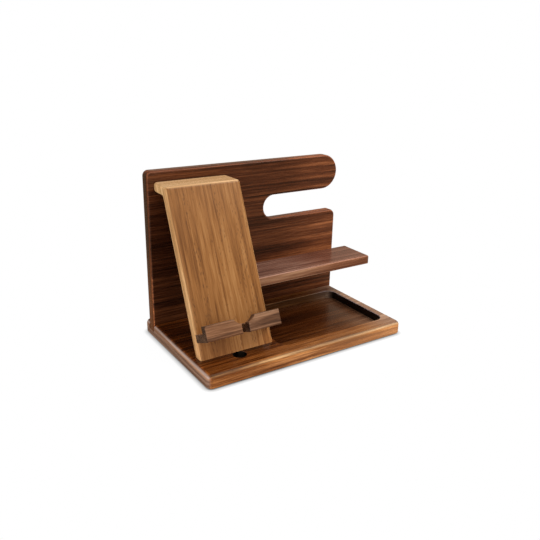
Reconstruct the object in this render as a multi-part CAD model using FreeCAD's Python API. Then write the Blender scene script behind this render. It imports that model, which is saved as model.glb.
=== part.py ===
"""Walnut docking station for a bedside table or desk.

A thick base board carries everything. A tall back panel stands in a groove across the
base and ends in a rounded arm over an open slot, where watches hang. A leaning phone
stand rests on the base and turns back at its top to meet the panel, which leaves a slot
for a wallet behind it. Two ledge halves on the stand hold the phone and leave room for
its charging plug, whose cable drops through a hole in the base. A shelf for glasses
stands out from the panel over a tray pocket for coins and keys.

Every piece is drawn from the front left corner of the base board at table level, in
millimetres, with X to the right, Y to the back and Z up. export_piece() then moves it so
that the origin is the centre of the footprint's box on the table.
"""
import FreeCAD, Part
import math
import os

# Base board
base_width = 252.0
base_depth = 158.0
base_thickness = 15.0
base_corner_radius = 6.0
base_top_roundover = 4.5
base_bottom_bevel = 1.2

# Pads under the base board
pad_diameter = 12.0
pad_thickness = 1.5
pad_standing_out = 0.5
pad_inset = 20.0

# Tray pocket in the base board
pocket_depth = 9.5
pocket_front_rim = 17.3
pocket_right_rim = 11.5
pocket_back_rim = 14.6
pocket_corner_radius = 10.0
pocket_edge_break = 0.6
pocket_to_stand = 3.4

# Back panel
panel_thickness = 12.5
panel_rise = 174.4
panel_corner_radius = 6.0
panel_roundover = 2.5
panel_back_lip = 11.9
groove_depth = 8.0
groove_side_clearance = 0.1

# Watch arm, at the top of the panel, and the open slot under it
arm_height = 41.8
slot_height = 28.3
slot_length = 107.0
slot_lower_corner_radius = 8.0

# Glasses shelf
shelf_depth = 46.4
shelf_thickness = 11.0
shelf_top_rise = 51.6
shelf_overhang = 22.1
shelf_to_stand = 5.4
shelf_top_roundover = 2.0
shelf_underside_roundover = 1.0
shelf_corner_roundover = 1.0

# Phone stand
stand_left = 7.9
stand_width = 86.7
stand_thickness = 11.0
stand_rise = 162.9
stand_foot_setback = 31.7
stand_front_roundover = 3.0
stand_back_roundover = 1.5
return_length = 29.9
return_thickness = 10.0
return_front_radius = 3.5
return_heel_radius = 4.0
return_inner_radius = 3.0

# Phone ledge, measured up the leaning face of the stand and out from it
ledge_underside = 18.9
ledge_floor_thickness = 8.3
ledge_channel = 17.4
lip_thickness = 8.0
lip_rise = 8.0
ledge_roundover = 1.2
ledge_edge_break = 0.4
plug_slot_width = 7.8
plug_slot_right_of_middle = 1.4
scallop_radius = 14.8
scallop_depth = 6.8

# Cable way through and under the base board
cable_hole_diameter = 15.0
cable_hole_left_of_middle = 2.0
cable_hole_under_foot = 1.0
cable_channel_width = 9.0
cable_channel_depth = 5.5

# Wood screws from below into the panel
screw_count = 2
screw_shank_diameter = 3.5
screw_head_diameter = 7.0
screw_tip_diameter = 0.9
screw_length = 25.0
screw_point_length = 4.0
screw_head_sink = 0.4
screw_hole_spare = 1.0
screw_end_inset = 30.0
screw_clearance = 0.1

# Loose tongues, glued into a slot in each of the two pieces that they join
tongue_clearance = 0.1
tongue_thickness = 4.0
shelf_tongue_in_shelf = 14.0
shelf_tongue_in_panel = 7.0
shelf_tongue_end_inset = 14.0
stand_tongue_end_inset = 14.0
foot_tongue_in_base = 7.0
foot_tongue_in_stand = 8.5
foot_tongue_to_back = 2.0
return_tongue_in_stand = 14.0
return_tongue_in_panel = 7.0
ledge_tongue_thickness = 3.0
ledge_tongue_end_inset = 7.0
ledge_tongue_in_ledge = 9.0
ledge_tongue_in_stand = 6.0

# Heights above the table
base_underside = pad_standing_out
base_top = base_underside + base_thickness
groove_floor = base_top - groove_depth
pocket_floor = base_top - pocket_depth
panel_top = base_top + panel_rise
slot_top = panel_top - arm_height
slot_bottom = slot_top - slot_height
shelf_top = base_top + shelf_top_rise
shelf_underside = shelf_top - shelf_thickness
stand_top = base_top + stand_rise
return_underside = stand_top - return_thickness
return_middle = stand_top - return_thickness / 2
shelf_middle = shelf_top - shelf_thickness / 2

# Places from left to right
stand_right = stand_left + stand_width
stand_middle = stand_left + stand_width / 2
pocket_left = stand_right + pocket_to_stand
pocket_right = base_width - pocket_right_rim
shelf_left = stand_right + shelf_to_stand
shelf_right = base_width + shelf_overhang
arm_radius = arm_height / 2
slot_radius = slot_height / 2
slot_end_centre = base_width - slot_length + slot_radius
arm_end_centre = base_width - arm_radius
plug_slot_middle = stand_middle + plug_slot_right_of_middle
cable_hole_x = stand_middle - cable_hole_left_of_middle

# Places from front to back
panel_back = base_depth - panel_back_lip
panel_front = panel_back - panel_thickness
panel_middle = (panel_front + panel_back) / 2
pocket_back = base_depth - panel_back_lip - panel_thickness - pocket_back_rim
shelf_front = panel_front - shelf_depth
return_front = panel_front - return_length
cable_hole_y = stand_foot_setback + cable_hole_under_foot - cable_hole_diameter / 2

# The stand leans back from its foot so that the return reaches the panel
stand_lean = math.atan2(return_front - stand_foot_setback, stand_rise)
stand_foot_depth = stand_thickness / math.cos(stand_lean)
stand_foot_back = stand_foot_setback + stand_foot_depth

# Sizes on the stand's leaning face
ledge_floor = ledge_underside + ledge_floor_thickness
lip_top = ledge_floor + lip_rise
ledge_projection = ledge_channel + lip_thickness
ledge_middle = ledge_underside + ledge_floor_thickness / 2

X_AXIS = FreeCAD.Vector(1, 0, 0)
Y_AXIS = FreeCAD.Vector(0, 1, 0)
Z_AXIS = FreeCAD.Vector(0, 0, 1)
FULL_TURN = 360
TOLERANCE = 0.001


def block(x_range, y_range, z_range):
    """Box between two values on each axis."""
    corner = FreeCAD.Vector(x_range[0], y_range[0], z_range[0])
    length = x_range[1] - x_range[0]
    depth = y_range[1] - y_range[0]
    height = z_range[1] - z_range[0]
    return Part.makeBox(length, depth, height, corner)


def rod(diameter, length, start, axis):
    """Round bar that begins at a point and runs along an axis."""
    return Part.makeCylinder(diameter / 2, length, FreeCAD.Vector(*start), axis)


def edges_where(shape, test):
    """Edges of a shape whose bounding box passes a test."""
    return [edge for edge in shape.Edges if test(edge.BoundBox)]


def rounded(shape, radius, test):
    """Round the edges that pass a test."""
    return shape.makeFillet(radius, edges_where(shape, test))


def upright(box):
    """True for an edge that runs straight up."""
    return box.XLength < TOLERANCE and box.YLength < TOLERANCE


def along_x(box):
    """True for an edge that runs from left to right."""
    return box.YLength < TOLERANCE and box.ZLength < TOLERANCE


def along_y(box):
    """True for an edge that runs from front to back."""
    return box.XLength < TOLERANCE and box.ZLength < TOLERANCE


def flat_at(box, height):
    """True for an edge that lies at one height."""
    return abs(box.ZMin - height) < TOLERANCE and abs(box.ZMax - height) < TOLERANCE


def spread(first, last, count):
    """Evenly spaced places from the first to the last."""
    step = (last - first) / max(count - 1, 1)
    return [first + step * number for number in range(count)]


def lean(shape):
    """Move a shape from the upright frame of the stand's face to its leaning place.

    In the upright frame Z runs up the face, Y goes back into the stand, and the foot's
    front edge lies on the X axis.
    """
    shape.rotate(FreeCAD.Vector(0, 0, 0), X_AXIS, -math.degrees(stand_lean))
    shape.translate(FreeCAD.Vector(0, stand_foot_setback, base_top))
    return shape


def tongue(x_range, y_range, z_range, spare):
    """Flat wooden tongue or, with spare room all round, the cutter for its two slots."""
    ranges = [(low - spare, high + spare) for low, high in (x_range, y_range, z_range)]
    return block(*ranges)


def about(middle, width):
    """Range of a given width about a middle."""
    return (middle - width / 2, middle + width / 2)


def inset(x_range, distance):
    """Range drawn in at both of its ends."""
    return (x_range[0] + distance, x_range[1] - distance)


def shelf_tongue(spare=0.0):
    """Tongue, or its slots, level through the shelf's back edge and into the panel."""
    x_range = inset((shelf_left, base_width), shelf_tongue_end_inset)
    y_range = (panel_front - shelf_tongue_in_shelf, panel_front + shelf_tongue_in_panel)
    return tongue(x_range, y_range, about(shelf_middle, tongue_thickness), spare)


def foot_tongue(spare=0.0):
    """Tongue, or its slots, upright between the base and the stand's foot."""
    y = stand_foot_back - foot_tongue_to_back - tongue_thickness / 2
    z_range = (base_top - foot_tongue_in_base, base_top + foot_tongue_in_stand)
    x_range = inset((stand_left, stand_right), stand_tongue_end_inset)
    return tongue(x_range, about(y, tongue_thickness), z_range, spare)


def return_tongue(spare=0.0):
    """Tongue, or its slots, level between the stand's return and the panel."""
    x_range = inset((stand_left, stand_right), stand_tongue_end_inset)
    y_range = (panel_front - return_tongue_in_stand, panel_front + return_tongue_in_panel)
    return tongue(x_range, y_range, about(return_middle, tongue_thickness), spare)


def ledge_halves():
    """The ledge's two ranges from left to right, with the plug slot between them."""
    half_slot = plug_slot_width / 2
    left = (stand_left, plug_slot_middle - half_slot)
    right = (plug_slot_middle + half_slot, stand_right)
    return [left, right]


def ledge_tongue(x_range, spare=0.0):
    """Tongue, or its slots, between one ledge half and the stand's leaning face."""
    y_range = (-ledge_tongue_in_ledge, ledge_tongue_in_stand)
    z_range = about(ledge_middle, ledge_tongue_thickness)
    return lean(tongue(inset(x_range, ledge_tongue_end_inset), y_range, z_range, spare))


def screw_places():
    """Middle of each panel screw, from left to right."""
    return spread(screw_end_inset, base_width - screw_end_inset, screw_count)


def tray_pocket():
    """Cutter for the pocket that holds coins and keys."""
    z_range = (pocket_floor, base_top + base_thickness)
    pocket = block((pocket_left, pocket_right), (pocket_front_rim, pocket_back), z_range)
    return rounded(pocket, pocket_corner_radius, upright)


def cable_way():
    """Cutter for the hole beside the foot and the channel from it to the back edge."""
    hole = rod(cable_hole_diameter, base_top, (cable_hole_x, cable_hole_y, 0), Z_AXIS)
    x_range = about(cable_hole_x, cable_channel_width)
    z_range = (0, base_underside + cable_channel_depth)
    return hole.fuse(block(x_range, (cable_hole_y, base_depth), z_range))


def panel_groove():
    """Cutter for the groove that takes the foot of the back panel."""
    y_range = (panel_front - groove_side_clearance, panel_back + groove_side_clearance)
    return block((0, base_width), y_range, (groove_floor, base_top))


def pad_centres():
    """Middle of each pad under the base."""
    xs = (pad_inset, base_width - pad_inset)
    ys = (pad_inset, base_depth - pad_inset)
    return [(x, y) for y in ys for x in xs]


def turned(outline, place):
    """Solid turned from an outline of radii and heights about a vertical axis."""
    points = [FreeCAD.Vector(radius, 0, height) for radius, height in outline]
    face = Part.Face(Part.makePolygon(points + points[:1]))
    solid = face.revolve(FreeCAD.Vector(0, 0, 0), Z_AXIS, FULL_TURN)
    solid.translate(FreeCAD.Vector(*place))
    return solid


def screw_hole(x):
    """Cutter for one screw: countersink from below, then a hole up into the panel."""
    bore = screw_shank_diameter / 2 + screw_clearance
    mouth = screw_head_diameter / 2 + screw_clearance + screw_head_sink
    depth = screw_head_sink + screw_length + screw_hole_spare
    outline = [(0, 0), (mouth, 0), (bore, mouth - bore), (bore, depth), (0, depth)]
    return turned(outline, (x, panel_middle, base_underside))


def panel_screw(x):
    """Countersunk wood screw from the underside of the base up into the panel."""
    head = screw_head_diameter / 2
    shank = screw_shank_diameter / 2
    tip = screw_tip_diameter / 2
    point = screw_length - screw_point_length
    outline = [(0, 0), (head, 0), (shank, head - shank), (shank, point)]
    outline += [(tip, screw_length), (0, screw_length)]
    return turned(outline, (x, panel_middle, base_underside + screw_head_sink))


def rounded_base():
    """Plain board with rounded corners, a rounded top edge and a bevelled bottom edge."""
    board = block((0, base_width), (0, base_depth), (base_underside, base_top))
    board = rounded(board, base_corner_radius, upright)
    board = rounded(board, base_top_roundover, lambda box: flat_at(box, base_top))
    bottom_edges = edges_where(board, lambda box: flat_at(box, base_underside))
    return board.makeChamfer(base_bottom_bevel, bottom_edges)


def on_pocket_rim(box):
    """True for an edge of the tray pocket's mouth."""
    inside_x = box.XMin > pocket_left - TOLERANCE and box.XMax < pocket_right + TOLERANCE
    inside_y = box.YMin > pocket_front_rim - TOLERANCE and box.YMax < pocket_back + TOLERANCE
    return flat_at(box, base_top) and inside_x and inside_y


def base_board():
    """Thick board with the tray pocket, the panel's groove and the cable way."""
    board = rounded_base().cut(tray_pocket())
    board = board.makeChamfer(pocket_edge_break, edges_where(board, on_pocket_rim))
    cutters = [panel_groove(), cable_way(), foot_tongue(tongue_clearance)]
    cutters += [rod(pad_diameter, pad_thickness, (x, y, 0), Z_AXIS) for x, y in pad_centres()]
    cutters += [screw_hole(x) for x in screw_places()]
    return board.cut(cutters)


def panel_board(y_range):
    """The panel below the slot, with its rounded corner at the right."""
    board = block((0, base_width), y_range, (groove_floor, slot_bottom))
    return rounded(
        board,
        slot_lower_corner_radius,
        lambda box: along_y(box) and box.XMin > base_width / 2 and box.ZMin > base_top,
    )


def panel_spine(y_range):
    """The panel's full height at the left, hollowed by the round end of the slot."""
    spine = block((0, slot_end_centre), y_range, (groove_floor, panel_top))
    spine = rounded(
        spine,
        panel_corner_radius,
        lambda box: along_y(box) and box.XMax < TOLERANCE and box.ZMin > base_top,
    )
    start = (slot_end_centre, panel_front, slot_bottom + slot_radius)
    return spine.cut(rod(slot_height, panel_thickness, start, Y_AXIS))


def watch_arm(y_range):
    """The arm over the slot, with its round end."""
    bar = block((slot_end_centre, arm_end_centre), y_range, (slot_top, panel_top))
    start = (arm_end_centre, panel_front, slot_top + arm_radius)
    return bar.fuse(rod(arm_height, panel_thickness, start, Y_AXIS))


def back_panel():
    """Tall panel with the watch arm, the open slot under it and a foot in the groove."""
    y_range = (panel_front, panel_back)
    panel = panel_board(y_range).fuse([panel_spine(y_range), watch_arm(y_range)]).removeSplitter()
    panel = rounded(
        panel,
        panel_roundover,
        lambda box: box.YLength < TOLERANCE and box.ZMax > groove_floor + TOLERANCE,
    )
    cutters = [shelf_tongue(tongue_clearance), return_tongue(tongue_clearance)]
    return panel.cut(cutters + [screw_hole(x) for x in screw_places()])


def is_shelf_front(box):
    """True for an edge of the shelf that stays clear of the panel."""
    return box.YMax < panel_front - TOLERANCE


def glasses_shelf():
    """Shelf that stands out from the panel and past its right edge."""
    shelf = block((shelf_left, shelf_right), (shelf_front, panel_front), (shelf_underside, shelf_top))
    shelf = rounded(shelf, shelf_corner_roundover, lambda box: upright(box) and is_shelf_front(box))
    shelf = rounded(
        shelf,
        shelf_top_roundover,
        lambda box: along_x(box) and is_shelf_front(box) and flat_at(box, shelf_top),
    )
    shelf = rounded(
        shelf,
        shelf_underside_roundover,
        lambda box: along_x(box) and is_shelf_front(box) and flat_at(box, shelf_underside),
    )
    return shelf.cut(shelf_tongue(tongue_clearance))


def stand_profile():
    """Side view of the stand: leaning board, then a level return to the panel."""
    slope = math.tan(stand_lean)
    inner = stand_foot_back + slope * (return_underside - base_top)
    outline = [
        (stand_foot_setback, base_top),
        (return_front, stand_top),
        (panel_front, stand_top),
        (panel_front, return_underside),
        (inner, return_underside),
        (stand_foot_back, base_top),
    ]
    points = [FreeCAD.Vector(stand_left, y, z) for y, z in outline]
    return Part.Face(Part.makePolygon(points + points[:1]))


def is_heel(box):
    """True for the lower edge of the return where it meets the panel."""
    return along_x(box) and flat_at(box, return_underside) and box.YMin > panel_front - TOLERANCE


def is_crook(box):
    """True for the inner edge where the leaning board turns into the return."""
    return along_x(box) and flat_at(box, return_underside) and box.YMax < panel_front - return_heel_radius


def is_stand_outline(box):
    """True for an edge of the stand's side view that stays clear of base and panel."""
    clear_of_base = box.ZMax > base_top + TOLERANCE
    return box.XLength < TOLERANCE and clear_of_base and box.YMin < panel_front - TOLERANCE


def is_stand_front(box):
    """True for such an edge along the leaning face or the top of the return."""
    on_face = box.YMin < stand_foot_setback + TOLERANCE
    return is_stand_outline(box) and (on_face or box.ZMax > stand_top - TOLERANCE)


def is_stand_back(box):
    """True for such an edge behind the leaning board or under the return."""
    return is_stand_outline(box) and not is_stand_front(box)


def phone_stand():
    """Leaning board that the phone rests against, in one piece with its return."""
    stand = stand_profile().extrude(X_AXIS * stand_width)
    stand = rounded(
        stand,
        return_front_radius,
        lambda box: along_x(box) and flat_at(box, stand_top) and box.YMax < panel_front - TOLERANCE,
    )
    stand = rounded(stand, return_heel_radius, is_heel)
    stand = rounded(stand, return_inner_radius, is_crook)
    stand = rounded(stand, stand_front_roundover, is_stand_front)
    stand = rounded(stand, stand_back_roundover, is_stand_back)
    cutters = [foot_tongue(tongue_clearance), return_tongue(tongue_clearance)]
    cutters += [ledge_tongue(x_range, tongue_clearance) for x_range in ledge_halves()]
    return stand.cut(cutters)


def on_channel_side(box):
    """True for an edge of the lip that faces the phone, above the channel's floor."""
    on_face = abs(box.YMin + ledge_channel) < TOLERANCE and abs(box.YMax + ledge_channel) < TOLERANCE
    return on_face and box.ZMax > ledge_floor + TOLERANCE


def ledge_half(x_range):
    """One half of the phone's ledge: a floor, a raised lip and its share of the scallop."""
    outline = [
        (0, ledge_underside),
        (-ledge_projection, ledge_underside),
        (-ledge_projection, lip_top),
        (-ledge_channel, lip_top),
        (-ledge_channel, ledge_floor),
        (0, ledge_floor),
    ]
    points = [FreeCAD.Vector(x_range[0], y, z) for y, z in outline]
    face = Part.Face(Part.makePolygon(points + points[:1]))
    ledge = face.extrude(X_AXIS * (x_range[1] - x_range[0]))
    ledge = rounded(ledge, ledge_roundover, lambda box: box.YMax < TOLERANCE - ledge_projection)
    scallop_start = (plug_slot_middle, -ledge_projection, lip_top - scallop_depth + scallop_radius)
    ledge = ledge.cut(rod(2 * scallop_radius, lip_thickness, scallop_start, Y_AXIS))
    sharp = edges_where(ledge, on_channel_side)
    ledge = ledge.makeChamfer(ledge_edge_break, sharp)
    return lean(ledge).cut(ledge_tongue(x_range, tongue_clearance))


def foot_pad(centre):
    """Round pad let into the underside of the base, standing a little proud of it."""
    return rod(pad_diameter, pad_thickness, (centre[0], centre[1], 0), Z_AXIS)


def export_piece(name, shapes):
    """Move a piece to the part's own origin and write it."""
    origin = FreeCAD.Vector((base_width + shelf_overhang) / 2, base_depth / 2, 0)
    piece = Part.makeCompound(shapes) if len(shapes) > 1 else shapes[0]
    piece.translate(-origin)
    piece.exportStep("parts/" + name + ".step")


def main():
    """Build every piece and write one file for each node."""
    os.makedirs("parts", exist_ok=True)
    ledge_left, ledge_right = ledge_halves()
    export_piece("base_board", [base_board()])
    export_piece("back_panel", [back_panel()])
    export_piece("glasses_shelf", [glasses_shelf()])
    export_piece("phone_stand", [phone_stand()])
    export_piece("phone_ledge_left", [ledge_half(ledge_left)])
    export_piece("phone_ledge_right", [ledge_half(ledge_right)])
    export_piece("panel_screws", [panel_screw(x) for x in screw_places()])
    export_piece("shelf_tongue", [shelf_tongue()])
    export_piece("stand_foot_tongue", [foot_tongue()])
    export_piece("stand_top_tongue", [return_tongue()])
    export_piece("ledge_tongues", [ledge_tongue(ledge_left), ledge_tongue(ledge_right)])
    for number, centre in enumerate(pad_centres(), start=1):
        export_piece("foot_pad_" + str(number), [foot_pad(centre)])


main()
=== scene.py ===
"""Looks of a wooden docking station for a phone, watches, glasses, a wallet and coins.

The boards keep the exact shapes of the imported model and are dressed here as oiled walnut
and a lighter hardwood. The rubber pads and the wood screws are made in full detail. All
lengths are in metres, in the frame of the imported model: X to the right, Y to the back
panel and Z up from the table.
"""
import logging
import math
from abc import ABC, abstractmethod
from dataclasses import dataclass, replace
from enum import Enum
from functools import partial, reduce

import bpy
from mathutils import Matrix, Vector


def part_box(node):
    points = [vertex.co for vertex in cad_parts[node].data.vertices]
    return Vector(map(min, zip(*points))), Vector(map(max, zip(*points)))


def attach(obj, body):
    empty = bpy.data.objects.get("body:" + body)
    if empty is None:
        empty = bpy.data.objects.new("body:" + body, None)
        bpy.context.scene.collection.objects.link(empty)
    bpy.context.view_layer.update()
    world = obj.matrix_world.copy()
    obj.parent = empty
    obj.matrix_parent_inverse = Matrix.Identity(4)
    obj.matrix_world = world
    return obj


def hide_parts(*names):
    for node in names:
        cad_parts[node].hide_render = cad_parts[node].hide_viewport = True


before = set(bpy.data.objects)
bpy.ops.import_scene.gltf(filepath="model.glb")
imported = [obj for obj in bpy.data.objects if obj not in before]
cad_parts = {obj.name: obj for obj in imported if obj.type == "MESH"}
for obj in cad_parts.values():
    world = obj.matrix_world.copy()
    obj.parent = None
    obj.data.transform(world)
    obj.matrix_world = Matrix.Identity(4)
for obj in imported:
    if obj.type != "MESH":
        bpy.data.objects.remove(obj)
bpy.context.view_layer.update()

BODY = "root"
MM = 0.001
WHITE = (1.0, 1.0, 1.0, 1.0)
STAND_LEAN = math.radians(23.845)
WALL_TO_FLOOR = (0.45, 0.75)
LOG = logging.getLogger("docking_station")

Socket = bpy.types.NodeSocket
Feed = Socket | float | int | tuple[float, ...] | bpy.types.Material | list[Socket]
Feeds = dict[str | int, Feed]
Patch = tuple[int, int, int]
Colour = tuple[float, ...]
Reach = tuple[float, float]
Triple = tuple[float, float, float]


class GrainRun(Enum):
    """Which way the fibres of a board run, as the turn that lays them along X."""

    ALONG_X = (0.0, 0.0, 0.0)
    UP_THE_STAND = (STAND_LEAN, math.radians(90.0), 0.0)


class Axis(Enum):
    """A direction of the frame."""

    X = 0
    Y = 1
    Z = 2


def chart(patch: Patch) -> Colour:
    """Turn a colour chart's patch into a scene colour.

    Args:
        patch: Red, green and blue from 0 to 255.

    Returns:
        The linear colour with an alpha of one.
    """
    channels = [value / 255 for value in patch]
    linear = [c / 12.92 if c <= 0.04045 else ((c + 0.055) / 1.055) ** 2.4 for c in channels]
    return (*linear, 1.0)


def put(name: str, data: bpy.types.ID) -> bpy.types.Object:
    """Put a mesh, a lamp or a camera into the scene.

    Args:
        name: The object's name.
        data: What it shows.

    Returns:
        The new object.
    """
    thing = bpy.data.objects.new(name, data)
    bpy.context.scene.collection.objects.link(thing)
    return thing


class NodeSheet:
    """A node tree that is being drawn, with short ways to add and join its nodes."""

    def __init__(self, tree: bpy.types.NodeTree) -> None:
        """Start on a shader or geometry tree, emptied of its nodes."""
        self.tree = tree
        tree.nodes.clear()

    def node(self, kind: str, feeds: Feeds | None = None, **settings: object) -> bpy.types.Node:
        """Add one node and join or set its inputs.

        Args:
            kind: The node's type name.
            feeds: Names or numbers of inputs, each with an output, a list of them or a value.
            settings: Properties of the node and their values.

        Returns:
            The new node.
        """
        node = self.tree.nodes.new(kind)
        for name, value in settings.items():
            setattr(node, name, value)
        for key, value in (feeds or {}).items():
            for source in value if isinstance(value, list) else [value]:
                if isinstance(source, Socket):
                    self.tree.links.new(source, node.inputs[key])
                else:
                    node.inputs[key].default_value = source
        return node

    def add(
        self, kind: str, feeds: Feeds | None = None, output: int | str = 0, **settings: object
    ) -> Socket:
        """Add one node in the same way and return one of its outputs, the first if none is named."""
        return self.node(kind, feeds, **settings).outputs[output]

    def math(self, operation: str, first: Feed, second: Feed = 0.0, clamp: bool = False) -> Socket:
        """Return the result of a math operation, held from 0 to 1 if it is clamped."""
        return self.add("ShaderNodeMath", {0: first, 1: second}, operation=operation, use_clamp=clamp)

    def product(self, *factors: Feed) -> Feed:
        """Return the product of numbers."""
        return reduce(partial(self.math, "MULTIPLY"), factors)

    def total(self, *terms: Feed) -> Feed:
        """Return the sum of numbers."""
        return reduce(partial(self.math, "ADD"), terms)

    def vector(self, operation: str, first: Feed, second: Feed = (0.0, 0.0, 0.0)) -> Socket:
        """Return the resulting vector of a vector operation."""
        return self.add("ShaderNodeVectorMath", {0: first, 1: second}, operation=operation)

    def length(self, vector: Socket) -> Socket:
        """Return the length of a vector."""
        return self.add("ShaderNodeVectorMath", {0: vector}, "Value", operation="LENGTH")

    def parts(self, vector: Socket) -> dict[Axis, Socket]:
        """Return the X, Y and Z of a vector."""
        return dict(zip(Axis, self.node("ShaderNodeSeparateXYZ", {0: vector}).outputs))

    def place(self) -> Socket:
        """Return where a point lies on the object."""
        return self.add("ShaderNodeTexCoord", output="Object")

    def outlook(self) -> dict[Axis, Socket]:
        """Return how far a face looks along X, Y and Z, without its sign."""
        return self.parts(self.vector("ABSOLUTE", self.add("ShaderNodeNewGeometry", output="Normal")))

    def squareness(self) -> Socket:
        """Return one where a face looks along X, Y or Z, and less on a rounded edge."""
        across, deep, level = self.outlook().values()
        return self.math("MAXIMUM", self.math("MAXIMUM", across, deep), level)

    def spread(
        self, value: Feed, low: float, high: float, to_low: float = 0.0, to_high: float = 1.0
    ) -> Socket:
        """Map a value smoothly from one range, held at both ends, to another."""
        feeds = {"Value": value, "From Min": low, "From Max": high, "To Min": to_low, "To Max": to_high}
        return self.add("ShaderNodeMapRange", feeds, interpolation_type="SMOOTHSTEP")

    def noise(self, where: Socket, detail: float, roughness: float = 0.5, output: str = "Fac") -> Socket:
        """Return a noise of unit scale, about 0.5 in the middle, as one number or a Color."""
        feeds = {"Vector": where, "Scale": 1.0, "Detail": detail, "Roughness": roughness}
        return self.add("ShaderNodeTexNoise", feeds, output, noise_dimensions="3D")

    def swung(self, clouds: Socket, swing: float) -> Feed:
        """Return a noise about zero instead of 0.5, times a swing."""
        return self.product(self.math("SUBTRACT", clouds, 0.5), swing)

    def blend(self, share: Feed, first: Feed, second: Feed, way: str = "MIX") -> Socket:
        """Return two colours mixed by a blend type, with a share of the second."""
        feeds = {0: share, 6: first, 7: second}
        return self.add("ShaderNodeMix", feeds, 2, data_type="RGBA", blend_type=way)

    def ramp(self, value: Socket, stops: list[tuple[float, Colour]]) -> Socket:
        """Colour a value by a row of stops.

        Args:
            value: The value from 0 to 1.
            stops: Positions with their colours, in order.

        Returns:
            The colour.
        """
        node = self.node("ShaderNodeValToRGB", {0: value})
        row = node.color_ramp
        while len(row.elements) < len(stops):
            row.elements.new(0.5)
        for element, (position, colour) in zip(row.elements, stops):
            element.position = position
            element.color = colour
        return node.outputs["Color"]

    def shaders(self, share: Socket, first: Socket, second: Socket) -> Socket:
        """Return two shaders mixed, with a share of the second."""
        return self.add("ShaderNodeMixShader", {0: share, 1: first, 2: second})

    def relief(self, height: Socket, strength: float, depth: float) -> Socket:
        """Return the normal of a fine relief, from its height, strength and depth."""
        return self.add("ShaderNodeBump", {"Height": height, "Strength": strength, "Distance": depth})

    def finish(self, feeds: Feeds) -> None:
        """End a material with a surface shader."""
        surface = self.add("ShaderNodeBsdfPrincipled", feeds)
        self.node("ShaderNodeOutputMaterial", {"Surface": surface})


def new_material(name: str) -> tuple[bpy.types.Material, NodeSheet]:
    """Make a material with an empty node sheet.

    Args:
        name: The finish's name.

    Returns:
        The material and its sheet.
    """
    material = bpy.data.materials.new(name)
    material.use_nodes = True
    return material, NodeSheet(material.node_tree)


class Mark(ABC):
    """Something that changes a board's colour: its cut, a maker's tool, or painted light and shade."""

    @abstractmethod
    def share(self, sheet: NodeSheet) -> Feed:
        """Return how much of the mark shows, from 0 to 1."""

    @abstractmethod
    def marked(self, sheet: NodeSheet, colour: Socket) -> Feed:
        """Return what the board's colour becomes where the mark shows in full."""

    def apply(self, sheet: NodeSheet, colour: Socket) -> Socket:
        """Return the board's colour with the mark."""
        return sheet.blend(self.share(sheet), colour, self.marked(sheet, colour))


@dataclass(frozen=True)
class Tinted(Mark):
    """Mark that multiplies red, green and blue by a tint."""

    tint: Triple

    def marked(self, sheet: NodeSheet, colour: Socket) -> Feed:
        """Return the tinted colour."""
        return sheet.vector("MULTIPLY", colour, self.tint)


@dataclass(frozen=True)
class CutFace(Tinted):
    """Tint of the faces that look along an axis, such as end grain, an edge, or a top greyed with painted
    sheen.
    """

    axis: Axis
    starts: float = 0.45
    full: float = 0.85

    def share(self, sheet: NodeSheet) -> Feed:
        """Return one where a face looks along the axis."""
        return sheet.spread(sheet.outlook()[self.axis], self.starts, self.full)


@dataclass(frozen=True)
class SlowChange(Tinted):
    """Slow change of a board's colour along X, Y, Z or several: in some boards a change of the wood, as
    from heartwood to sapwood, in others painted shade, painted highlight or painted sheen.
    """

    along: Reach | None = None
    across: Reach | None = None
    upward: Reach | None = None

    def share(self, sheet: NodeSheet) -> Feed:
        """Return zero before each reach, one past all of them and smooth shares between."""
        reaches = zip(sheet.parts(sheet.place()).values(), (self.along, self.across, self.upward))
        return sheet.product(*[sheet.spread(place, *reach) for place, reach in reaches if reach])


@dataclass(frozen=True)
class SandedEdgeAndPaintedHighlight(Tinted):
    """Rounded edge of a board made paler than the faces beside it: partly sanded wood, partly painted
    highlight.
    """

    starts: float = 0.98
    full: float = 0.86
    tilt: Reach = (-1.0, 0.0)

    def share(self, sheet: NodeSheet) -> Feed:
        """Return one where a face looks along no axis and far enough up or down."""
        edge = sheet.spread(sheet.squareness(), self.starts, self.full)
        return sheet.product(edge, sheet.spread(sheet.outlook()[Axis.Z], *self.tilt))


@dataclass(frozen=True)
class QuietGrain(Mark):
    """Part of a board, further and further along X, where streaks and rings are fainter."""

    colour: Patch
    along: Reach
    most: float

    def share(self, sheet: NodeSheet) -> Feed:
        """Return how faint the grain is."""
        return sheet.spread(sheet.parts(sheet.place())[Axis.X], *self.along, 0.0, self.most)

    def marked(self, sheet: NodeSheet, colour: Socket) -> Feed:
        """Return the board's own plain colour."""
        return chart(self.colour)


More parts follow.
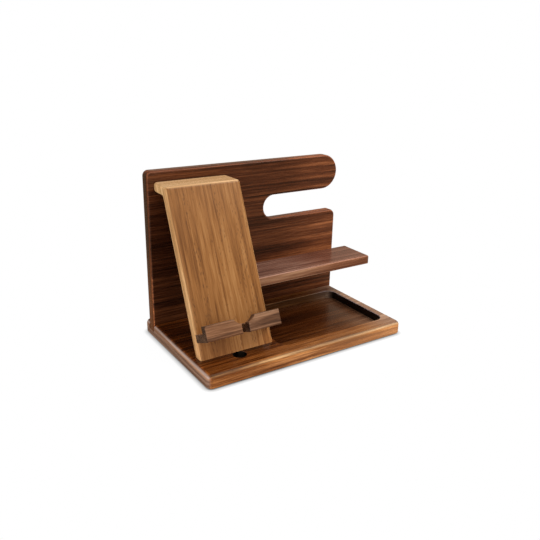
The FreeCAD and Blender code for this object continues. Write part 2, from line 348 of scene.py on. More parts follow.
@dataclass(frozen=True)
class EndGrain(Mark):
    """Sawn face of a board, with its yearly layers as fine lines and no long fibres."""

    dark: Patch
    pale: Patch
    layers: Triple = (30.0, 9.0, 330.0)
    layer_ends: Reach = (0.34, 0.66)
    specks: Triple = (1400.0, 1400.0, 1400.0)
    speck_ends: Reach = (0.3, 0.7)
    speck_share: float = 0.2
    axis: Axis = Axis.X
    starts: float = 0.40
    full: float = 0.85

    def share(self, sheet: NodeSheet) -> Feed:
        """Return one where a face looks along the axis."""
        return sheet.spread(sheet.outlook()[self.axis], self.starts, self.full)

    def marked(self, sheet: NodeSheet, colour: Socket) -> Feed:
        """Draw the layers, with specks between them.

        Args:
            sheet: The material's sheet.
            colour: The board's colour, which doesn't show here.

        Returns:
            The colour of the sawn face.
        """
        place = sheet.place()
        lines = sheet.noise(sheet.vector("MULTIPLY", place, self.layers), 3.0)
        specks = sheet.noise(sheet.vector("MULTIPLY", place, self.specks), 2.0)
        lines = sheet.spread(lines, *self.layer_ends, 0.0, 1.0 - self.speck_share)
        specks = sheet.spread(specks, *self.speck_ends, 0.0, self.speck_share)
        return sheet.blend(sheet.total(lines, specks), chart(self.dark), chart(self.pale))


@dataclass(frozen=True)
class Cut:
    """The box that a cutter has been through, from corner to corner."""

    low: Vector
    high: Vector
    edge: float = 0.4 * MM

    def inside(self, sheet: NodeSheet) -> Feed:
        """Find the box in a board.

        Args:
            sheet: The material's sheet.

        Returns:
            One inside the box and zero outside.
        """
        shares = []
        for place, low, high in zip(sheet.parts(sheet.place()).values(), self.low, self.high):
            shares.append(sheet.spread(place, low - self.edge, low + self.edge))
            shares.append(sheet.spread(place, high + self.edge, high - self.edge))
        return sheet.product(*shares)


@dataclass(frozen=True)
class PaintedShadeWall(Mark):
    """Upright wall of a routed pocket or a drilled hole, darkened as painted shade."""

    cut: Cut
    colour: Patch = (6, 3, 2)
    shade_on_y_walls: float = 1.0
    y_wall_ends: Reach = (0.3, 0.8)

    def share(self, sheet: NodeSheet) -> Feed:
        """Show the painted shade on the faces of the cut that don't look up.

        Args:
            sheet: The material's sheet.

        Returns:
            How dark a face is, less so on the walls that look along Y.
        """
        outlook = sheet.outlook()
        upright = sheet.spread(outlook[Axis.Z], *WALL_TO_FLOOR, 1.0, 0.0)
        wall_shade = sheet.spread(outlook[Axis.Y], *self.y_wall_ends, 1.0, self.shade_on_y_walls)
        return sheet.product(upright, wall_shade, self.cut.inside(sheet))

    def marked(self, sheet: NodeSheet, colour: Socket) -> Feed:
        """Return the colour of the painted shade."""
        return chart(self.colour)


@dataclass(frozen=True)
class PocketFloorPaintedShade(Tinted):
    """Floor of a routed pocket, darkened towards the back as painted shade."""

    cut: Cut
    at_front: float = 0.40

    def share(self, sheet: NodeSheet) -> Feed:
        """Show the painted shade on the level faces of the cut.

        Args:
            sheet: The material's sheet.

        Returns:
            How much of the painted shade shows, in full from the cut's middle to its back.
        """
        level = sheet.spread(sheet.outlook()[Axis.Z], *WALL_TO_FLOOR)
        middle = (self.cut.low.y + self.cut.high.y) / 2
        shade_to_back = sheet.spread(sheet.parts(sheet.place())[Axis.Y], self.cut.low.y, middle, self.at_front)
        return sheet.product(level, shade_to_back, self.cut.inside(sheet))


@dataclass(frozen=True)
class Grain:
    """Clouds drawn out along the fibres: features in a metre both ways, octaves and their swing."""

    along: float
    across: float
    detail: float = 2.0
    roughness: float = 0.5
    swing: float = 1.0

    def laid(self, sheet: NodeSheet, log: Socket) -> Socket:
        """Return coordinates, with the fibres along X, in which the features have a size of one."""
        return sheet.vector("MULTIPLY", log, (self.along, self.across, self.across))

    def drawn(self, sheet: NodeSheet, log: Socket, output: str = "Fac") -> Socket:
        """Return the clouds, about 0.5 in the middle, as one number or a Color."""
        return sheet.noise(self.laid(sheet, log), self.detail, self.roughness, output)


@dataclass(frozen=True)
class Rings:
    """Growth rings about the heart of the log, some years dark and most of them faint."""

    gap: float = 3.2 * MM
    strength: float = 0.22
    depth: float = 1.6
    lift: float = 0.3
    wander: Grain = Grain(2.6, 9.0, detail=3.0)
    sway: float = 12 * MM
    uneven: Grain = Grain(1.5, 70.0, swing=2.6)
    late_wood: Reach = (0.0, 0.82)
    winter: Reach = (1.0, 0.86)
    late_power: float = 1.6
    rarity: float = 2.0
    faintest: float = 0.18
    patches: Grain = Grain(5.0, 26.0)
    patch_ends: Reach = (0.36, 0.62)
    patch_least: float = 0.35

    def drawn(self, sheet: NodeSheet, log: Socket) -> Feed:
        """Draw the rings.

        Args:
            sheet: The material's sheet.
            log: Coordinates about the heart.

        Returns:
            How much each point is darkened by late wood, from 0 to 1.
        """
        centred = sheet.vector("SUBTRACT", self.wander.drawn(sheet, log, "Color"), (0.5, 0.5, 0.5))
        bent = sheet.vector("ADD", log, sheet.vector("MULTIPLY", centred, (0.0, self.sway, self.sway)))
        radius = sheet.length(sheet.vector("MULTIPLY", bent, (0.0, 1.0, 1.0)))
        uneven = sheet.swung(self.uneven.drawn(sheet, log), self.uneven.swing)
        year = sheet.total(sheet.math("DIVIDE", radius, self.gap), uneven)
        season = sheet.math("FRACT", year)
        late = sheet.product(sheet.spread(season, *self.late_wood), sheet.spread(season, *self.winter))
        number = sheet.math("FLOOR", year)
        chance = sheet.add("ShaderNodeTexWhiteNoise", {"W": number}, noise_dimensions="1D")
        rare = sheet.math("POWER", chance, self.rarity)
        patchy = sheet.spread(self.patches.drawn(sheet, log), *self.patch_ends, self.patch_least, 1.0)
        dark = sheet.product(sheet.total(rare, self.faintest), patchy)
        return sheet.product(sheet.math("POWER", late, self.late_power), dark)


@dataclass(frozen=True)
class Pores:
    """Open pores, seen as fine dark dashes along the fibres."""

    strength: float = 0.45
    shade: Colour = (0.30, 0.24, 0.20, 1.0)
    dashes: Grain = Grain(105.0, 1300.0)
    crowding: Grain = Grain(12.0, 160.0)
    crowding_ends: Reach = (0.4, 0.65)
    widths: Reach = (0.14, 0.36)
    softness: float = 0.16

    def drawn(self, sheet: NodeSheet, log: Socket) -> Socket:
        """Draw the pores.

        Args:
            sheet: The material's sheet.
            log: Coordinates about the heart.

        Returns:
            One inside a pore and zero outside.
        """
        feeds = {"Vector": self.dashes.laid(sheet, log), "Scale": 1.0}
        middle = sheet.add("ShaderNodeTexVoronoi", feeds, "Distance", feature="F1", voronoi_dimensions="3D")
        width = sheet.spread(self.crowding.drawn(sheet, log), *self.crowding_ends, *self.widths)
        return sheet.spread(sheet.math("SUBTRACT", width, middle), 0.0, self.softness)


STREAKS = Grain(5.5, 95.0, detail=3.0, roughness=0.55, swing=2.2)
FIBRES = Grain(13.0, 330.0, detail=3.0, roughness=0.6, swing=2.0)


@dataclass(frozen=True)
class WoodFinish:
    """An oiled board: colours from dark to pale, growth rings, streaks, fibres and pores."""

    name: str
    dark: Patch
    body: Patch
    pale: Patch
    heart: Triple
    stops: tuple[float, ...] = (0.04, 0.28, 0.52, 0.95)
    run: GrainRun = GrainRun.ALONG_X
    rings: Rings = Rings()
    drift: Grain = Grain(3.0, 17.0, swing=1.6)
    drift_strength: float = 0.30
    streaks: Grain = STREAKS
    streak_strength: float = 0.50
    fibres: Grain = FIBRES
    hair: Grain = Grain(45.0, 1500.0, roughness=0.6, swing=1.3)
    fibre_strength: float = 0.34
    pores: Pores = Pores()
    roughness: float = 0.27
    edge: Reach = (0.99, 0.90)
    edge_roughness: float = 0.30
    hair_roughness: float = 0.2
    pore_roughness: float = 0.15
    gloss: float = 0.35
    gleam: Colour = (1.0, 0.92, 0.76, 1.0)
    relief: float = 0.04 * MM
    relief_strength: float = 0.6
    hair_height: float = 0.5

    def tone(self, sheet: NodeSheet, log: Socket, hair: Socket) -> Socket:
        """Add up what makes the wood paler or darker.

        Args:
            sheet: The material's sheet.
            log: Coordinates about the heart.
            hair: The finest fibres.

        Returns:
            A tone from 0, dark, to 1, pale.
        """
        tone: Feed = 0.5 + self.rings.lift * self.rings.strength
        for clouds, swing in (
            (self.drift.drawn(sheet, log), self.drift.swing * self.drift_strength),
            (self.streaks.drawn(sheet, log), self.streaks.swing * self.streak_strength),
            (self.fibres.drawn(sheet, log), self.fibres.swing * self.fibre_strength),
            (hair, self.hair.swing * self.fibre_strength),
        ):
            tone = sheet.total(tone, sheet.swung(clouds, swing))
        late_wood = sheet.product(self.rings.drawn(sheet, log), self.rings.depth * self.rings.strength)
        return sheet.math("SUBTRACT", tone, late_wood, clamp=True)

    def colour(self, sheet: NodeSheet, tone: Socket, pore: Socket) -> Socket:
        """Colour the wood.

        Args:
            sheet: The material's sheet.
            tone: How pale the wood is.
            pore: Where its pores are.

        Returns:
            The colour before any mark.
        """
        middle = [(low + high) // 2 for low, high in zip(self.dark, self.body)]
        patches = (self.dark, middle, self.body, self.pale)
        colour = sheet.ramp(tone, list(zip(self.stops, map(chart, patches))))
        return sheet.blend(sheet.product(pore, self.pores.strength), colour, self.pores.shade, "MULTIPLY")

    def dullness(self, sheet: NodeSheet, hair: Socket, pore: Socket) -> Socket:
        """Find how matt the oil is, more so in the pores and on the rounded edges.

        Args:
            sheet: The material's sheet.
            hair: The finest fibres.
            pore: Where the pores are.

        Returns:
            The roughness from 0 to 1.
        """
        fine = sheet.swung(hair, self.hair_roughness)
        edge = sheet.spread(sheet.squareness(), *self.edge, 0.0, self.edge_roughness)
        rough = sheet.total(fine, self.roughness, edge)
        return sheet.math("ADD", rough, sheet.product(pore, self.pore_roughness), clamp=True)

    def material(self, marks: tuple[Mark, ...] = ()) -> bpy.types.Material:
        """Build the node material.

        Args:
            marks: The marks on this board's colour, painted light and shade among them.

        Returns:
            The finished material.
        """
        material, sheet = new_material(self.name)
        feeds = {"Vector": sheet.place(), "Rotation": self.run.value, "Location": self.heart}
        log = sheet.add("ShaderNodeMapping", feeds, vector_type="POINT")
        hair = self.hair.drawn(sheet, log)
        pore = self.pores.drawn(sheet, log)
        colour = self.colour(sheet, self.tone(sheet, log, hair), pore)
        for mark in marks:
            colour = mark.apply(sheet, colour)
        height = sheet.math("SUBTRACT", sheet.product(hair, self.hair_height), pore)
        feeds = {
            "Base Color": colour,
            "Roughness": self.dullness(sheet, hair, pore),
            "Specular IOR Level": self.gloss,
            "Specular Tint": self.gleam,
            "Normal": sheet.relief(height, self.relief_strength, self.relief),
        }
        sheet.finish(feeds)
        return material


@dataclass(frozen=True)
class CloudedFinish:
    """Rubber or metal: two colours in soft clouds, a gloss that follows them and a fine relief."""

    name: str
    colour: Patch
    worn: Patch
    clouds: Triple
    cloud_ends: Reach
    gloss_ends: Reach
    roughness: Reach
    ridges: Triple
    relief: float
    relief_strength: float
    metallic: float = 0.0

    def material(self) -> bpy.types.Material:
        """Build the node material.

        Returns:
            The finished material.
        """
        material, sheet = new_material(self.name)
        place = sheet.place()
        clouds = sheet.noise(sheet.vector("MULTIPLY", place, self.clouds), 3.0)
        ridges = sheet.noise(sheet.vector("MULTIPLY", place, self.ridges), 2.0)
        worn = sheet.spread(clouds, *self.cloud_ends)
        feeds = {
            "Base Color": sheet.blend(worn, chart(self.colour), chart(self.worn)),
            "Roughness": sheet.spread(clouds, *self.gloss_ends, *self.roughness),
            "Metallic": self.metallic,
            "Normal": sheet.relief(ridges, self.relief_strength, self.relief),
        }
        sheet.finish(feeds)
        return material


PAD_RUBBER = CloudedFinish(
    name="pad_rubber_matt",
    colour=(38, 37, 36),
    worn=(64, 63, 62),
    clouds=(240.0, 240.0, 240.0),
    cloud_ends=(0.45, 0.75),
    gloss_ends=(0.2, 0.8),
    roughness=(0.62, 0.82),
    ridges=(2600.0, 2600.0, 2600.0),
    relief=0.04 * MM,
    relief_strength=0.5,
)
SCREW_ZINC = CloudedFinish(
    name="zinc_plated_steel",
    colour=(190, 190, 186),
    worn=(156, 156, 152),
    clouds=(700.0, 700.0, 700.0),
    cloud_ends=(0.35, 0.7),
    gloss_ends=(0.3, 0.7),
    roughness=(0.28, 0.46),
    ridges=(300.0, 300.0, 9000.0),
    relief=0.02 * MM,
    relief_strength=0.3,
    metallic=1.0,
)


@dataclass
class Boards:
    """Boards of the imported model, cut from one plank and so with one finish."""

    nodes: tuple[str, ...]
    finish: WoodFinish

    def marks(self) -> tuple[Mark, ...]:
        """Return the marks on their colour, painted light and shade among them, from the wood outwards."""
        return ()

    def make(self) -> None:
        """Give the boards their finish."""
        material = self.finish.material(self.marks())
        for node in self.nodes:
            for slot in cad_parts[node].material_slots:
                slot.material = material
            LOG.info("dressed %s with %s", node, material.name)


@dataclass
class BaseBoard(Boards):
    """Thick board with the tray pocket, the cable hole and a routed channel below."""

    nodes: tuple[str, ...] = ("base_board",)
    pocket_low: Triple = (-39.05 * MM, -61.7 * MM, 6.0 * MM)
    pocket_high: Triple = (103.45 * MM, 40.0 * MM, 15.0 * MM)
    hole_low: Triple = (-95.3 * MM, -61.3 * MM, 0.65 * MM)
    hole_high: Triple = (-80.3 * MM, -46.3 * MM, 15.35 * MM)
    margin: float = 0.5 * MM
    skin: float = 1.0 * MM
    finish: WoodFinish = WoodFinish(
        name="base_walnut_oiled",
        dark=(30, 11, 3),
        body=(93, 45, 13),
        pale=(160, 95, 42),
        heart=(0.11, 0.045, 0.085),
        rings=Rings(gap=4.2 * MM, strength=0.30),
        streak_strength=0.68,
        fibre_strength=0.46,
    )

    def marks(self) -> tuple[Mark, ...]:
        """List its slow changes of colour, with a painted shadow, painted sheen and painted highlights
        among them, its paler front, its sawn ends, its edges paler with painted highlight, and its pocket
        and hole darkened as painted shade.

        Returns:
            The marks, from the wood outwards.
        """
        beside = Vector((self.margin, self.margin, 0.0))
        below = Vector((0.0, 0.0, self.skin))
        low, high = Vector(self.pocket_low) - beside, Vector(self.pocket_high) + beside
        hole = Cut(Vector(self.hole_low) - beside, Vector(self.hole_high) + beside)
        return (
            QuietGrain((102, 54, 20), along=(-0.06, 0.09), most=0.55),
            # paler and greyer towards the right end: partly paler wood, partly painted sheen, with painted
            # shade at the darker left end
            SlowChange((2.5, 3.4, 5.2), along=(-0.12, 0.12)),
            # darker band on the top in front of the stand, fading out to the right: painted shadow of the
            # stand and its ledge
            SlowChange((0.62, 0.52, 0.42), along=(0.10, 0.05), across=(-0.0775, -0.060)),
            # paler, greyer strip along the front of the top at the right: painted sheen
            SlowChange((1.15, 1.7, 3.7), along=(0.06, 0.112), across=(-0.078, -0.074)),
            CutFace((1.96, 2.22, 2.5), Axis.Y),
            # sawn ends, their colours greyed in part as painted sheen
            EndGrain((114, 80, 62), (174, 134, 112)),
            # rounded top edges paler: partly sanded wood, partly painted highlight
            SandedEdgeAndPaintedHighlight((1.0, 1.4, 2.15), tilt=(0.1, 0.4)),
            # paler top of the rounded left edge: painted highlight
            SlowChange((1.7, 1.55, 1.25), along=(-0.1320, -0.1340), upward=(0.0095, 0.0125)),
            # darker lower front face, leaving its upper part paler as a broad painted highlight under the
            # rounded edge
            SlowChange((0.76, 0.76, 0.88), across=(-0.0775, -0.079), upward=(0.0125, 0.0095)),
            # pocket floor, darker towards the back: painted shade
            PocketFloorPaintedShade((0.26, 0.20, 0.16), Cut(low - below, high)),
            # pocket walls, nearly black: painted shade
            PaintedShadeWall(Cut(low, high), shade_on_y_walls=0.78),
            # walls of the cable hole, nearly black: painted shade
            PaintedShadeWall(hole),
        )


@dataclass
class BackPanel(Boards):
    """Tall panel with the watch arm over its open slot."""

    nodes: tuple[str, ...] = ("back_panel",)
    finish: WoodFinish = WoodFinish(
        name="panel_walnut_oiled",
        dark=(21, 8, 3),
        body=(73, 35, 17),
        pale=(125, 71, 39),
        heart=(0.3, 0.07, -0.095),
        rings=Rings(gap=3.6 * MM),
        streaks=replace(STREAKS, along=3.0, across=130.0),
        streak_strength=0.44,
        fibres=replace(FIBRES, along=6.0, across=420.0),
        fibre_strength=0.48,
    )

    def marks(self) -> tuple[Mark, ...]:
        """Return its slow changes of colour, with a painted shadow behind the stand among them, its dark
        ends, its edges paler with painted highlight and its paler top.
        """
        return (
            # paler towards the right end: partly paler wood, partly leaving the middle and left darker as
            # painted shade
            SlowChange((2.05, 2.25, 2.4), along=(0.02, 0.11)),
            # darker band on the left of the front, from 0.168 m down: painted shadow of the stand
            SlowChange((0.55, 0.50, 0.50), along=(-0.085, -0.115), upward=(0.168, 0.148)),
            # lower left made paler again, so that the painted shadow above stays a band
            SlowChange((1.7, 2.0, 2.1), along=(-0.085, -0.115), upward=(0.09, 0.05)),
            EndGrain((28, 11, 3), (70, 34, 12), layers=(30.0, 330.0, 9.0)),
            SlowChange((4.2, 4.5, 4.6), along=(-0.1345, -0.1368), upward=(0.12, 0.04)),
            # rounded edges paler: partly sanded wood, partly painted highlight
            SandedEdgeAndPaintedHighlight((2.45, 2.45, 2.4)),
            CutFace((1.9, 1.5, 1.1), Axis.Z, starts=0.85, full=0.98),
        )


@dataclass
class GlassesShelf(Boards):
    """Shelf that stands out from the panel and past its right edge."""

    nodes: tuple[str, ...] = ("glasses_shelf",)
    finish: WoodFinish = WoodFinish(
        name="shelf_walnut_oiled",
        dark=(58, 28, 16),
        body=(112, 65, 42),
        pale=(160, 106, 74),
        heart=(-0.2, 0.02, -0.12),
        rings=Rings(gap=3.4 * MM),
    )

    def marks(self) -> tuple[Mark, ...]:
        """Return its painted highlight towards the left, its top greyed with painted sheen, its edges paler
        with painted highlight, and its darker ends.
        """
        return (
            # paler towards the left end: painted highlight
            SlowChange((1.4, 1.8, 2.05), along=(0.09, 0.02)),
            # greyer, paler top: painted sheen
            CutFace((1.06, 1.17, 1.55), Axis.Z),
            # rounded edges paler: partly sanded wood, partly painted highlight
            SandedEdgeAndPaintedHighlight((1.5, 1.6, 1.7)),
            CutFace((0.35, 0.32, 0.3), Axis.X, starts=0.25, full=0.6),
        )


@dataclass
class PhoneStand(Boards):
    """Leaning board that turns back at its top to meet the panel."""

    nodes: tuple[str, ...] = ("phone_stand",)
    finish: WoodFinish = WoodFinish(
        name="stand_hardwood_oiled",
        dark=(84, 45, 15),
        body=(146, 94, 46),
        pale=(184, 132, 78),
        heart=(0.05, 0.06, 0.13),
        run=GrainRun.UP_THE_STAND,
        rings=Rings(gap=5.0 * MM, strength=0.14),
        streak_strength=0.26,
        fibre_strength=0.46,
        pores=Pores(strength=0.60, dashes=Grain(150.0, 650.0)),
        edge_roughness=0.08,
    )
    # sawn top of the return, its very pale colours partly painted light from above
    top: EndGrain = EndGrain(
        dark=(198, 149, 98),
        pale=(234, 190, 139),
        layers=(11.0, 300.0, 300.0),
        axis=Axis.Z,
        starts=0.55,
        full=0.9,
    )

    def marks(self) -> tuple[Mark, ...]:
        """Return its slow changes of colour, and sides and a top that are paler than its face."""
        return (
            SlowChange((1.25, 1.22, 1.26), across=(-0.032, -0.040)),
            SlowChange((1.4, 1.6, 1.85), across=(0.028, 0.036)),
            CutFace((2.5, 3.35, 5.2), Axis.X),
            self.top,
        )


@dataclass
class PhoneLedge(Boards):
    """The two halves of the ledge, on both sides of the slot for the plug."""

    nodes: tuple[str, ...] = ("phone_ledge_left", "phone_ledge_right")
    finish: WoodFinish = WoodFinish(
        name="ledge_walnut_oiled",
        dark=(40, 20, 10),
        body=(106, 67, 42),
        pale=(158, 112, 78),
        heart=(0.4, 0.09, -0.02),
        rings=Rings(gap=3.4 * MM, strength=0.30),
        streak_strength=0.60,
        fibre_strength=0.62,
        edge_roughness=0.12,
    )

    def marks(self) -> tuple[Mark, ...]:
        """Return its slow change of colour, its edges paler with painted highlight, and its darker ends."""
        return (
            SlowChange((0.82, 0.86, 0.95), along=(-0.088, -0.080)),
            # rounded edges paler: partly sanded wood, partly painted highlight
            SandedEdgeAndPaintedHighlight((1.35, 1.4, 1.45)),
            CutFace((0.52, 0.56, 0.68), Axis.X),
        )


@dataclass
class GluedTongues(Boards):
    """Loose beech tongues inside the joints."""

    nodes: tuple[str, ...] = ("shelf_tongue", "stand_foot_tongue", "stand_top_tongue", "ledge_tongues")
    finish: WoodFinish = WoodFinish(
        name="tongue_beech_bare",
        dark=(168, 126, 84),
        body=(205, 164, 120),
        pale=(226, 192, 150),
        heart=(0.0, 0.05, 0.03),
        rings=Rings(gap=2.4 * MM),
        pores=Pores(strength=0.25),
        roughness=0.62,
    )


class PieceTree(NodeSheet):
    """A geometry tree that makes one finished piece, with its named inputs."""

    SOCKETS = {
        float: "NodeSocketFloat",
        int: "NodeSocketInt",
        tuple: "NodeSocketVector",
        bpy.types.Material: "NodeSocketMaterial",
    }

    def __init__(self, name: str, inputs: dict[str, Feed]) -> None:
        """Start a tree.

        Args:
            name: The tree's name.
            inputs: Names and values of its inputs: lengths, counts, places and a material.
        """
        super().__init__(bpy.data.node_groups.new(name, "GeometryNodeTree"))
        faces = self.tree.interface
        faces.new_socket("Geometry", in_out="OUTPUT", socket_type="NodeSocketGeometry")
        self.values: dict[str, Feed] = {}
        for title, value in inputs.items():
            socket = faces.new_socket(title, in_out="INPUT", socket_type=self.SOCKETS[type(value)])
            self.values[socket.identifier] = value
        self.entry = self.node("NodeGroupInput")

    def __getitem__(self, name: str) -> Socket:
        """Return a named input, as an output of the tree's input node."""
        return self.entry.outputs[name]

    def moved(self, part: Socket, place: Feed = (0.0, 0.0, 0.0), turn: Feed = (0.0, 0.0, 0.0)) -> Socket:
        """Return a geometry moved to a place, after its turn about X, Y and Z."""
        return self.add("GeometryNodeTransform", {"Geometry": part, "Translation": place, "Rotation": turn})

    def raised(self, part: Socket, height: Feed) -> Socket:
        """Return a geometry moved up by a height."""
        return self.moved(part, self.add("ShaderNodeCombineXYZ", {"Z": height}))

    def repeat(self, part: Socket, points: Socket, finish: Socket) -> None:
        """Repeat a part at points, make it real and give it its finish.

        Args:
            part: The geometry that repeats.
            points: Where it repeats.
            finish: The material input.
        """
        copies = self.add("GeometryNodeInstanceOnPoints", {"Points": points, "Instance": part})
        real = self.add("GeometryNodeRealizeInstances", {"Geometry": copies})
        dressed = self.add("GeometryNodeSetMaterial", {"Geometry": real, "Material": finish})
        self.node("NodeGroupOutput", {"Geometry": dressed})

    def build(self, name: str, replaced: tuple[str, ...], slot: str) -> None:
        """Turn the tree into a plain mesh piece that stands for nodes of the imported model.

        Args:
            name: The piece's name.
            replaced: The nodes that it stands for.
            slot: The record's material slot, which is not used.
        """
        holder = put(name + "_tree", bpy.data.meshes.new(name + "_tree"))
        modifier = holder.modifiers.new("tree", "NODES")
        modifier.node_group = self.tree
        for identifier, value in self.values.items():
            modifier[identifier] = value
        bpy.context.view_layer.update()
        depsgraph = bpy.context.evaluated_depsgraph_get()
        mesh = bpy.data.meshes.new_from_object(holder.evaluated_get(depsgraph), depsgraph=depsgraph)
        bpy.data.objects.remove(holder)
        mesh.name = name
        piece = put(name, mesh)
        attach(piece, BODY)
        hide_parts(*replaced)
        LOG.info("built %s, %d faces", name, len(mesh.polygons))


def sizes_of(assembly: object) -> dict[str, float | int]:
    """Return the lengths and counts among a sub-assembly's fields, by name."""
    return {name: value for name, value in vars(assembly).items() if isinstance(value, (float, int))}


@dataclass
class FootPads:
    """Four rubber pads let into the underside of the base."""

    nodes: tuple[str, ...] = ("foot_pad_1", "foot_pad_2", "foot_pad_3", "foot_pad_4")
    rim_radius: float = 0.35 * MM
    rim_steps: int = 4
    sides: int = 64
    seam: float = 0.01 * MM
    finish: CloudedFinish = PAD_RUBBER

    def make(self) -> None:
        """Build the pads, each turned from one profile with a rounded rim."""
        low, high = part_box(self.nodes[0])
        far_low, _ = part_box(self.nodes[-1])
        inputs = {
            "diameter": high.x - low.x,
            "height": high.z - low.z,
            "spacing_across": far_low.x - low.x,
            "spacing_deep": far_low.y - low.y,
            "centre": tuple((low + high) / 2 + (far_low - low) / 2),
            "rubber": self.finish.material(),
        }
        tree = PieceTree("foot_pads", sizes_of(self) | inputs)
        half = tree.math("DIVIDE", tree["diameter"], 2.0)
        feeds = {"Resolution": tree["sides"], "Radius": tree.math("DIVIDE", half, 2.0)}
        path = tree.add("GeometryNodeCurvePrimitiveCircle", feeds)
        feeds = {"Width": half, "Height": tree["height"]}
        outline = tree.add("GeometryNodeCurvePrimitiveQuadrilateral", feeds)
        outer = tree.math("GREATER_THAN", tree.parts(tree.add("GeometryNodeInputPosition"))[Axis.X], 0.0)
        feeds = {
            "Curve": outline,
            "Radius": tree.product(outer, tree["rim_radius"]),
            "Count": tree["rim_steps"],
            "Limit Radius": True,
        }
        soft = tree.add("GeometryNodeFilletCurve", feeds, mode="POLY")
        swept = tree.add("GeometryNodeCurveToMesh", {"Curve": path, "Profile Curve": soft})
        pad = tree.add("GeometryNodeMergeByDistance", {"Geometry": swept, "Distance": tree["seam"]})
        feeds = {
            "Size X": tree["spacing_across"],
            "Size Y": tree["spacing_deep"],
            "Vertices X": 2,
            "Vertices Y": 2,
        }
        points = tree.moved(tree.add("GeometryNodeMeshGrid", feeds), tree["centre"])
        tree.repeat(pad, points, tree["rubber"])
        tree.build("rubber_foot_pads", self.nodes, "pad_rubber")


@dataclass
class PanelScrews:
    """Countersunk wood screws from the underside of the base up into the panel."""

    node: str = "panel_screws"
    head_radius: float = 3.5 * MM
    shank_radius: float = 1.75 * MM
    core_radius: float = 1.15 * MM
    tip_radius: float = 0.2 * MM
    plain_shank: float = 9.0 * MM
    point: float = 4.0 * MM
    pitch: float = 1.5 * MM
    recess_width: float = 0.95 * MM
    recess_span: float = 3.9 * MM
    recess_depth: float = 1.5 * MM
    count: int = 2
    head_sides: int = 48
    rod_sides: int = 32
    turn_steps: int = 24
    finish: CloudedFinish = SCREW_ZINC

    def make(self) -> None:
        """Build the screws, each from its head, plain shank, core, point and thread."""
        low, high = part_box(self.node)
        inputs = {
            "length": high.z - low.z,
            "spacing": (high.x - low.x - 2 * self.head_radius, 0.0, 0.0),
            "first": (low.x + self.head_radius, (low.y + high.y) / 2, low.z),
            "steel": self.finish.material(),
        }
        tree = PieceTree("panel_screws", sizes_of(self) | inputs)
        head_end = tree.math("SUBTRACT", tree["head_radius"], tree["shank_radius"])
        thread_start = tree.total(head_end, tree["plain_shank"])
        thread_end = tree.math("SUBTRACT", tree["length"], tree["point"])
        point = self.cone(tree, "rod_sides", "core_radius", "tip_radius", tree["point"])
        pieces = [
            self.screw_head(tree, head_end),
            self.rod(tree, tree["shank_radius"], head_end, thread_start),
            self.rod(tree, tree["core_radius"], thread_start, thread_end),
            tree.raised(point, thread_end),
            self.thread(tree, thread_start, thread_end),
        ]
        screw = tree.add("GeometryNodeJoinGeometry", {"Geometry": pieces})
        feeds = {"Count": tree["count"], "Start Location": tree["first"], "Offset": tree["spacing"]}
        tree.repeat(screw, tree.add("GeometryNodeMeshLine", feeds), tree["steel"])
        tree.build("panel_wood_screws", (self.node,), "zinc_steel")

    def cone(self, tree: PieceTree, sides: str, bottom: str, top: str, height: Socket) -> Socket:
        """Return a cone that stands up from zero, with its sides and radii from named inputs."""
        feeds = {"Vertices": tree[sides], "Radius Top": tree[top], "Radius Bottom": tree[bottom]}
        return tree.add("GeometryNodeMeshCone", {**feeds, "Depth": height})

    def screw_head(self, tree: PieceTree, height: Socket) -> Socket:
        """Cut the cross recess into the countersunk head.

        Args:
            tree: The screws' tree.
            height: The head's height.

        Returns:
            The head, with its flat face down.
        """
        cone = self.cone(tree, "head_sides", "head_radius", "shank_radius", height)
        both_ways = tree.product(tree["recess_depth"], 2.0)
        size = {"X": tree["recess_span"], "Y": tree["recess_width"], "Z": both_ways}
        bar = {"Size": tree.add("ShaderNodeCombineXYZ", size)}
        turns = ((0.0, 0.0, 0.0), (0.0, 0.0, math.pi / 2))
        bars = [tree.moved(tree.add("GeometryNodeMeshCube", bar), turn=turn) for turn in turns]
        return tree.add("GeometryNodeMeshBoolean", {"Mesh 1": cone, "Mesh 2": bars}, operation="DIFFERENCE")

    def rod(self, tree: PieceTree, radius: Socket, low: Socket, high: Socket) -> Socket:
        """Make a round rod between two heights.

        Args:
            tree: The screws' tree.
            radius: Its radius.
            low: Its lower end.
            high: Its upper end.

        Returns:
            The rod.
        """
        length = tree.math("SUBTRACT", high, low)
        feeds = {"Vertices": tree["rod_sides"], "Radius": radius, "Depth": length}
        rod = tree.add("GeometryNodeMeshCylinder", feeds)
        return tree.raised(rod, tree.product(tree.total(low, high), 0.5))

    def thread(self, tree: PieceTree, low: Socket, high: Socket) -> Socket:
        """Wind the sharp ridge of the thread around the core.

        Args:
            tree: The screws' tree.
            low: Where the thread starts.
            high: Where it ends.

        Returns:
            The ridge.
        """
        threaded = tree.math("SUBTRACT", high, low)
        feeds = {
            "Resolution": tree["turn_steps"],
            "Rotations": tree.math("DIVIDE", threaded, tree["pitch"]),
            "Start Radius": tree["core_radius"],
            "End Radius": tree["core_radius"],
            "Height": threaded,
        }
        helix = tree.add("GeometryNodeCurveSpiral", feeds)
        ridge = tree.math("SUBTRACT", tree["shank_radius"], tree["core_radius"])
        square = tree.add("GeometryNodeCurvePrimitiveCircle", {"Resolution": 4, "Radius": ridge})
        feeds = {"Curve": helix, "Profile Curve": square, "Fill Caps": True}
        return tree.raised(tree.add("GeometryNodeCurveToMesh", feeds), low)


@dataclass(frozen=True)
class Softbox:
    """A broad studio lamp: where it stands, what it looks at, its size and its power."""

    name: str
    place: Triple
    size: float
    power: float
    target: Triple = (0.0, 0.0, 0.08)

    def make(self) -> None:
        """Hang the lamp."""
        data = bpy.data.lights.new(self.name, "AREA")
        data.shape = "SQUARE"
        data.size = self.size
        data.energy = self.power
        lamp = put(self.name, data)
        lamp.location = self.place
        aim = Vector(self.target) - Vector(self.place)
        lamp.rotation_euler = aim.to_track_quat("-Z", "Y").to_euler()


